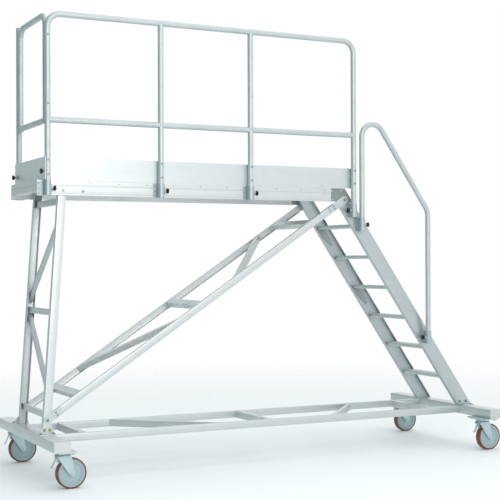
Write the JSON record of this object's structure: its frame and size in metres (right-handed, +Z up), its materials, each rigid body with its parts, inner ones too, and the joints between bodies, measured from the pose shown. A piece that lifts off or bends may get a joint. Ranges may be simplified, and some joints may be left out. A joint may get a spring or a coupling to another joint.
{
  "type": "mobile work platform",
  "caption": "Wheeled aluminium work platform with a one-sided stepladder, guard rail, hand rail, toe boards and braked swivel castors",
  "frame": {"origin": "on the floor, under the middle of the bounding box", "axes": "+X along the platform towards the ladder, +Y away from the guarded side, +Z up"},
  "size_m": [3.593, 1.364, 3.12],
  "materials": {
    "aluminium_profile": "satin extruded",
    "aluminium_tube": "satin drawn",
    "aluminium_sheet": "mill finish sheet",
    "aluminium_tread": "ribbed extrusion",
    "galvanised_bracket": "zinc plated",
    "dark_plate": "dark grey-green",
    "zinc_castor": "bright zinc plated",
    "zinc_bolt": "yellow passivated zinc",
    "hub": "pale blue-grey",
    "tyre": "red-brown elastic tread",
    "black_knob": "black"
  },
  "bodies": {
    "frame": {"base_beam_left": "aluminium_profile", "base_beam_right": "aluminium_profile", "base_rails": "aluminium_profile", "base_bars": "aluminium_profile", "castor_mount_plates": "galvanised_bracket", "castor_top_plates": "zinc_castor", "leg_near": "aluminium_profile", "leg_far": "aluminium_profile", "leg_bars": "aluminium_profile", "leg_feet": "galvanised_bracket", "brace_near": "aluminium_profile", "brace_far": "aluminium_profile", "brace_bars_set": "aluminium_profile", "brace_end_fittings": "galvanised_bracket", "stringer_near": "aluminium_profile", "stringer_far": "aluminium_profile", "steps": "aluminium_tread", "step_brackets": "galvanised_bracket", "stringer_feet": "galvanised_bracket", "gusset_plates": "dark_plate", "side_beam_near": "aluminium_profile", "side_beam_far": "aluminium_profile", "end_beam": "aluminium_profile", "deck_planks": "aluminium_tread", "rail_sockets": "galvanised_bracket", "frame_bolts": "zinc_bolt"},
    "guard_rail": {"guard_top_rail": "aluminium_tube", "guard_posts": "aluminium_tube", "knee_rails": "aluminium_tube", "corner_post": "aluminium_tube", "end_hoop": "aluminium_tube", "toe_boards": "aluminium_sheet", "toe_board_end": "aluminium_sheet", "toe_brackets": "galvanised_bracket", "guard_bolts": "zinc_bolt"},
    "hand_rail": {"handrail": "aluminium_tube"},
    "castor_nl": {"fork_nl": "zinc_castor"},
    "wheel_nl": {"tyre_nl": "tyre", "hub_nl": "hub"},
    "brake_lever_nl": {"brake_nl": "zinc_castor"},
    "castor_fl": {"fork_fl": "zinc_castor"},
    "wheel_fl": {"tyre_fl": "tyre", "hub_fl": "hub"},
    "brake_lever_fl": {"brake_fl": "zinc_castor"},
    "castor_nr": {"fork_nr": "zinc_castor"},
    "wheel_nr": {"tyre_nr": "tyre", "hub_nr": "hub"},
    "brake_lever_nr": {"brake_nr": "zinc_castor"},
    "castor_fr": {"fork_fr": "zinc_castor"},
    "wheel_fr": {"tyre_fr": "tyre", "hub_fr": "hub"},
    "brake_lever_fr": {"brake_fr": "zinc_castor"},
    "clamp_knob_1": {"knob_1": "black_knob"},
    "clamp_knob_2": {"knob_2": "black_knob"},
    "clamp_knob_3": {"knob_3": "black_knob"},
    "clamp_knob_4": {"knob_4": "black_knob"},
    "clamp_knob_5": {"knob_5": "black_knob"},
    "clamp_knob_6": {"knob_6": "black_knob"},
    "clamp_knob_7": {"knob_7": "black_knob"},
    "clamp_knob_8": {"knob_8": "black_knob"}
  },
  "joints": [
    {"name": "guard_rail_lift", "type": "slide", "parent": "frame", "child": "guard_rail", "axis": [0, 0, 1], "range_m": [0, 0.2]},
    {"name": "hand_rail_lift", "type": "slide", "parent": "frame", "child": "hand_rail", "axis": [0, 0, 1], "range_m": [0, 0.2]},
    {"name": "swivel_nl", "type": "hinge", "parent": "frame", "child": "castor_nl", "pos_m": [-1.7015, -0.565, 0.225], "axis": [0, 0, 1], "continuous": true},
    {"name": "wheel_spin_nl", "type": "hinge", "parent": "castor_nl", "child": "wheel_nl", "pos_m": [-1.6495, -0.565, 0.1], "axis": [0, 1, 0], "continuous": true},
    {"name": "brake_press_nl", "type": "hinge", "parent": "castor_nl", "child": "brake_lever_nl", "pos_m": [-1.7395, -0.565, 0.2027], "axis": [0, -1, 0], "range_deg": [0, 18]},
    {"name": "swivel_fl", "type": "hinge", "parent": "frame", "child": "castor_fl", "pos_m": [-1.7015, 0.565, 0.225], "axis": [0, 0, 1], "continuous": true},
    {"name": "wheel_spin_fl", "type": "hinge", "parent": "castor_fl", "child": "wheel_fl", "pos_m": [-1.6495, 0.565, 0.1], "axis": [0, 1, 0], "continuous": true},
    {"name": "brake_press_fl", "type": "hinge", "parent": "castor_fl", "child": "brake_lever_fl", "pos_m": [-1.7395, 0.565, 0.2027], "axis": [0, -1, 0], "range_deg": [0, 18]},
    {"name": "swivel_nr", "type": "hinge", "parent": "frame", "child": "castor_nr", "pos_m": [1.6445, -0.565, 0.225], "axis": [0, 0, 1], "continuous": true},
    {"name": "wheel_spin_nr", "type": "hinge", "parent": "castor_nr", "child": "wheel_nr", "pos_m": [1.6965, -0.565, 0.1], "axis": [0, 1, 0], "continuous": true},
    {"name": "brake_press_nr", "type": "hinge", "parent": "castor_nr", "child": "brake_lever_nr", "pos_m": [1.6065, -0.565, 0.2027], "axis": [0, -1, 0], "range_deg": [0, 18]},
    {"name": "swivel_fr", "type": "hinge", "parent": "frame", "child": "castor_fr", "pos_m": [1.6445, 0.565, 0.225], "axis": [0, 0, 1], "continuous": true},
    {"name": "wheel_spin_fr", "type": "hinge", "parent": "castor_fr", "child": "wheel_fr", "pos_m": [1.6965, 0.565, 0.1], "axis": [0, 1, 0], "continuous": true},
    {"name": "brake_press_fr", "type": "hinge", "parent": "castor_fr", "child": "brake_lever_fr", "pos_m": [1.6065, 0.565, 0.2027], "axis": [0, -1, 0], "range_deg": [0, 18]},
    {"name": "knob_turn_1", "type": "hinge", "parent": "frame", "child": "clamp_knob_1", "pos_m": [-1.7315, -0.34105, 1.945], "axis": [1, 0, 0], "range_deg": [0, 720]},
    {"name": "knob_turn_2", "type": "hinge", "parent": "frame", "child": "clamp_knob_2", "pos_m": [-0.9265, -0.34105, 1.945], "axis": [1, 0, 0], "range_deg": [0, 720]},
    {"name": "knob_turn_3", "type": "hinge", "parent": "frame", "child": "clamp_knob_3", "pos_m": [-0.2335, -0.34105, 1.945], "axis": [1, 0, 0], "range_deg": [0, 720]},
    {"name": "knob_turn_4", "type": "hinge", "parent": "frame", "child": "clamp_knob_4", "pos_m": [0.6304, -0.34105, 1.835], "axis": [-1, 0, 0], "range_deg": [0, 720]},
    {"name": "knob_turn_5", "type": "hinge", "parent": "frame", "child": "clamp_knob_5", "pos_m": [0.7031, -0.34105, 1.73], "axis": [1, 0, 0], "range_deg": [0, 720]},
    {"name": "knob_turn_6", "type": "hinge", "parent": "frame", "child": "clamp_knob_6", "pos_m": [1.30137, -0.34105, 0.866], "axis": [-1, 0, 0], "range_deg": [0, 720]},
    {"name": "knob_turn_7", "type": "hinge", "parent": "guard_rail", "child": "clamp_knob_7", "pos_m": [-1.7515, 0.34105, 2.055], "axis": [-1, 0, 0], "range_deg": [0, 720]},
    {"name": "knob_turn_8", "type": "hinge", "parent": "guard_rail", "child": "clamp_knob_8", "pos_m": [-1.7515, -0.34105, 2.055], "axis": [-1, 0, 0], "range_deg": [0, 720]}
  ]
}
